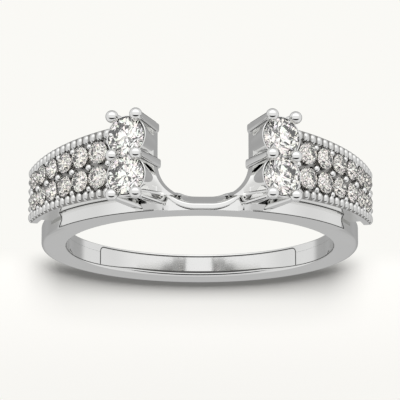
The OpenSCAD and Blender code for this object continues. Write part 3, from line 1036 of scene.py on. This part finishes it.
seat_end = -SEAT_DEEP - (SEAT_R - HEAD_HOLE_R) * np.tan(PAVILION)
wall = rounded([
    (COLLET_FOOT, -COLLET_DEEP), (COLLET_R, 0), (SEAT_R, 0), (SEAT_R, -SEAT_DEEP),
    (HEAD_HOLE_R, seat_end), (HEAD_HOLE_R, -COLLET_DEEP)], WALL_CUTS)
collets_at = on_head(0.0, 0.0, np.array([-1, 1]) * STONE_PITCH / 2)
collets = turned(collets_at, head_up, along_finger, wall[:, 0], wall[:, 1], count=64)
solid("head_collets", [(both(collets), True)])

# %% [markdown]
# Six claws hold the two stones, and the middle pair serves both. A claw is a tapering bar,
# nearly square, from its foot to a ball that sits on the stones' edges. Bar and ball are
# one turned profile, so no seam shows at the neck.

# %% Where the claws stand: the inner three, back to front, then the outer three
BALL_R = 0.4
BALL_X = 0.808
BALL_UP = 0.342
CLAW_R = 0.25
CLAW_ROW = np.array([-1, 0, 1, -1, 0, 1])
CLAW_INNER = np.arange(6) < 3
FOOT_R = np.array([0.32, 0.32, 0.42, 0.32, 0.32, 0.34])
FOOT_X = np.array([-0.72, -0.85, -1.2, 0.54, 0.54, 0.0])
FOOT_LOW = 2.62
BASE_DEEP = 2.15
FOOT_CLOSER = 0.18
FOOT_FORWARD = 0.32

tips = on_head(np.where(CLAW_INNER, -BALL_X, BALL_X), BALL_UP, CLAW_ROW * STONE_PITCH)
foot_up = np.where(CLAW_INNER, -FOOT_LOW, -BASE_DEEP)
outer_front = (CLAW_ROW > 0) & ~CLAW_INNER
foot_a = CLAW_ROW * (STONE_PITCH - FOOT_CLOSER) + np.where(outer_front, FOOT_FORWARD, 0)
feet = on_head(FOOT_X, foot_up, foot_a)
claw_long = np.linalg.norm(tips - feet, axis=-1)[:, None]
print("Claws, mm long:", np.round(claw_long[:, 0], 2))

# %% Claws
BAR_ROWS = 12
BALL_ROWS = 13
NECK_SQUARE = 0.6
neck = np.sqrt(BALL_R**2 - CLAW_R**2)
from_foot = np.concatenate([[0], np.linspace(0, 1, BAR_ROWS)])
bar_h = from_foot * (claw_long - neck)
bar_r = FOOT_R[:, None] + (CLAW_R - FOOT_R[:, None]) * from_foot
bar_r[:, 0] = 0
theta = np.linspace(np.arccos(-neck / BALL_R), 0, BALL_ROWS + 1)[1:]
ball_r = np.broadcast_to(BALL_R * np.sin(theta), (len(feet), BALL_ROWS))
ball_h = claw_long + BALL_R * np.cos(theta)
radii = np.concatenate([bar_r, ball_r], -1)
heights = np.concatenate([bar_h, ball_h], -1)
square = np.concatenate([np.ones(BAR_ROWS), [NECK_SQUARE], np.zeros(BALL_ROWS)])
claws = turned(feet, unit(tips - feet), along_finger, radii, heights, count=40, square=square)
solid("head_claws", [(both(claws), False)])

# %% [markdown]
# Milgrain is a row of tiny beads rolled into a rim's edge with a small wheel. Here they are
# long across the rim, like the strands of a rope. They could be an array along a curve.
# Placing them all at once keeps them in one mesh, and each needs few faces.

# %% Milgrain
GRAIN_IN = 0.34
GRAIN_R = 0.22
GRAIN_WIDE = 1.55
GRAIN_SQUARE = 0.5
GRAIN_PITCH = 0.535
GRAIN_AT = RIM_R - 0.06
GRAIN_ROWS = 9
# The grains' tones are darker than the polished metal's: painted shade for the crevices between
# them.
GRAIN_SHADE_TONES = (0.68, 0.68, 0.67, 1), (0.78, 0.78, 0.77, 1)
ROLLED_ROUGH = 0.05

toe_phi = PLATE_END - np.degrees(GRAIN_IN / RIM_R)
pitch_phi = np.degrees(GRAIN_PITCH / RIM_R)
grain_phi = toe_phi - pitch_phi * np.arange(int((toe_phi - PLATE_START) / pitch_phi))
front_a = PLATE_FRONT - GRAIN_IN
toe_a = plate_back(toe_phi) + GRAIN_IN
end_n = int((front_a - toe_a) / GRAIN_PITCH)
end_a = toe_a + np.arange(1, end_n) * (front_a - toe_a) / end_n
rear_a = plate_back(grain_phi) + GRAIN_IN
grains_at = np.concatenate([
    polar(grain_phi, GRAIN_AT, front_a), polar(grain_phi, GRAIN_AT, rear_a),
    polar(toe_phi, GRAIN_AT, end_a)])
ups = unit(grains_at * [1, 1, 0])
asides = np.broadcast_to(along_finger, ups.shape).copy()
asides[-len(end_a):] = np.cross(along_finger, ups[-len(end_a):])
grains = turned(grains_at, ups, asides, *ball(GRAIN_R, GRAIN_ROWS), wide=GRAIN_WIDE,
                square=GRAIN_SQUARE)
rolled = metal_finish("rolled_metal", GRAIN_SHADE_TONES, ROLLED_ROUGH)
solid("milgrain", [(both(grains), False)], rolled)

# %% [markdown]
# Beads raised from the floor grip the paving stones: a larger one between each four, and
# small ones at the sides. A setter pushes them up from the floor, so they are plain balls
# half sunk in it.

# %% Beads of the paving
BEAD_R = 0.2
MID_BEAD_R = 0.25
BEAD_AT = FLOOR_R + 0.12
near_stone = np.minimum(np.arange(PAVE_N + 1), PAVE_N - 1)
pitch = sizes[near_stone] + PAVE_GAP
before = np.where(np.arange(PAVE_N + 1) < PAVE_N, -0.5, 0.5)
bead_phi = pave_phi[near_stone] + chord(pitch) * before
bead_mid = row_middle[near_stone]
to_stone = sizes[near_stone] / 2 + BEAD_R + SEAT_GAP
off = row_off[near_stone] + np.sqrt(to_stone**2 - (pitch / 2) ** 2)


def beads(depths, radius, rings, count):
    """Balls at the paving's angles and these depths, with their poles outwards."""
    places = np.concatenate([polar(bead_phi, BEAD_AT, depth) for depth in depths])
    return turned(places, unit(places * [1, 1, 0]), along_finger, *ball(radius, rings), count=count)


small = beads([bead_mid - off, bead_mid + off], BEAD_R, 10, 16)
large = beads([bead_mid], MID_BEAD_R, 12, 20)
solid("pave_beads", [(both(small), False), (both(large), False)])

# %% [markdown]
# Thin dark lines run along edges and creases: painted shade and painted reflection, for the shade
# in the creases and the dark that the edges mirror, and at the panel's seam also the seam's own
# dark joint. They could be painted into the metal, but a slim dark thread, half sunk in it, stays
# sharp from every side. Threads run round the hole's edge, along the panel's seam, at the raised
# strip's borders with its chevron, before the rail and beside the inner claws.

# %% A dark thread
LINE_R = 0.028
# Near black: the threads are painted shade and painted reflection.
SHADE_LINE_TONES = (0.08, 0.08, 0.08, 1), (0.16, 0.16, 0.155, 1)
LINE_GRAIN = 3000.0
LINE_ROUGH = 0.35
LINE_MORE_ROUGH = 0.2


def thread(path, radius=LINE_R):
    """A thin closed tube along a path: radius * (cos * side + sin * the third way) round it."""
    ways = unit(np.gradient(path, axis=0))
    sides = unit(np.cross(ways, path * [1, 1, 0]))
    others = np.cross(ways, sides)
    angle = np.linspace(0, 2 * np.pi, 8, endpoint=False)[:, None]
    ring = np.cos(angle) * sides[:, None] + np.sin(angle) * others[:, None]
    return capped(path[:, None] + np.reshape(radius, (-1, 1, 1)) * ring)[None]


def shade_line_finish():
    """Rough dark grey metal with a fine grain: painted shade for the thin dark lines."""
    made, place = material("join_line")
    grain = place.noise(LINE_GRAIN)
    return finished(made, place, {
        "Base Color": grain.mix(*SHADE_LINE_TONES), "Metallic": 1.0,
        "Roughness": LINE_ROUGH + grain * LINE_MORE_ROUGH})


lines = shade_line_finish()

# %% Lines inside the hole
HEEL_MORE = 0.04
HEEL_HALF = 40
HEEL_FADE = 25
SEAM_R = 0.04
SINK = 0.01
EDGE_SINK = 0.012
around = np.linspace(60, 300, 240)
from_heel = np.abs(around - 180)
# Round the hole's edge the thread paints the dark reflection on its bevel, thicker towards the
# heel.
hole_line = polar(around, FINGER_R + SINK, -soft_edge(180 - from_heel) - SINK)
hole_thick = LINE_R + HEEL_MORE * np.clip((HEEL_HALF - from_heel) / HEEL_FADE, 0, 1)

seam_corner = np.degrees(PANEL_CORNER / FINGER_R)
corner_turn = np.linspace(0, np.pi / 2, 12)
seam_start = -soft_edge(PANEL_END) - SEAM_WIDE
seam_a = np.concatenate([
    np.linspace(seam_start, PANEL_BACK + PANEL_CORNER, 12)[:-1],
    PANEL_BACK + PANEL_CORNER * (1 - np.sin(corner_turn)), np.full(60, PANEL_BACK)])
seam_phi = np.concatenate([
    np.full(11, PANEL_END), PANEL_END + seam_corner * (1 - np.cos(corner_turn)),
    np.linspace(PANEL_END + seam_corner, 180, 61)[1:]])
# Along the panel's seam the thread is the seam's dark joint and painted shade in its step.
seam = polar(seam_phi, FINGER_R + EDGE_SINK, seam_a)
shells = [(thread(hole_line, hole_thick), False), (both(thread(seam, SEAM_R)), False)]
print("Seam from, degrees:", round(PANEL_END, 1), "to the heel")

# %% Lines outside
# At the raised strip's borders, its chevron and before the rail the threads are painted shade along
# the edges.
strip_phi = np.linspace(CREST_FROM + 1, CREST_TO - 0.2, 60)
rear_phi = np.linspace(PLATE_START, CREST_TO - 0.1, 60)
chevron_a = np.linspace(-0.02, -0.98, 31)
strip_front = polar(strip_phi, CREST_R - EDGE_SINK, -EDGE_SINK)
strip_rear = polar(rear_phi, CREST_R, PLATE_FRONT)
chevron = polar(crest_end(chevron_a), CREST_R - SINK, chevron_a)
rail_line = beside_notch(rail_turn, rail_step, rail_w + SINK, BRIDGE_R)
shells += [(thread(rail_line), False)]
shells += [(both(thread(line)), False) for line in (strip_front, strip_rear, chevron)]
print("Lines so far:", len(shells))

# %% Lines beside the inner claws
LINE_ASIDE = 0.9
LINE_INWARD = 0.7
CLAW_SHARE = (0.1, 0.84)
# Beside the inner claws the threads paint the dark edges of their bars.
up_claw = np.linspace(*CLAW_SHARE, BAR_ROWS)[:, None]
inward = np.array([-np.cos(HEAD_LEAN), np.sin(HEAD_LEAN), 0.0])
for foot, tip, foot_half in zip(feet[:3], tips[:3], FOOT_R[:3]):
    half = foot_half + (CLAW_R - foot_half) * up_claw
    for hand in (-LINE_ASIDE, LINE_ASIDE):
        edge = foot + up_claw * (tip - foot) + half * (hand * along_finger + LINE_INWARD * inward)
        shells.append((both(thread(edge)), False))
solid("join_lines", shells, lines)

# %% [markdown]
# The stones are round brilliants. Their facets are in the CAD solids, so a clear, strongly bending
# glass is enough, with a faint cloud in its colour. The small ones are tinted a little warmer, and
# darker with painted shade for the shade that falls on them between the rims and over the dark
# floor.

# %% Stones
STONE_IOR = 2.42
STONE_CLOUD = 1500.0


def stone_finish(name, dark, light):
    """A clear crystal that bends light as a brilliant does."""
    made, place = material(name)
    return finished(made, place, {
        "Base Color": place.noise(STONE_CLOUD).mix(dark, light), "Roughness": 0.0,
        "IOR": STONE_IOR, "Transmission Weight": 1.0})


main_finish = stone_finish("main_brilliant", (0.95, 0.94, 0.92, 1), (1.0, 0.995, 0.98, 1))
# The paving stones' darker tint is painted shade.
shaded_pave_finish = stone_finish("pave_brilliant", (0.8, 0.78, 0.74, 1), (0.92, 0.9, 0.87, 1))

# %% [markdown]
# The CAD nodes keep their shapes and only get a finish. The stones show as they are. The one solid
# of all the metal stays, hidden, under the pieces that stand for it. The one solid of all the
# metal stays for the collisions, under the pieces that stand for it.

# %% Dress the CAD nodes
finishes = {"ring": metal, "main": main_finish, "pave": shaded_pave_finish}
for name, node in frame["nodes"].items():
    node.data.materials.clear()
    node.data.materials.append(finishes[name.split("_")[0]])
print("Nodes dressed:", len(frame["nodes"]))

# %% [markdown]
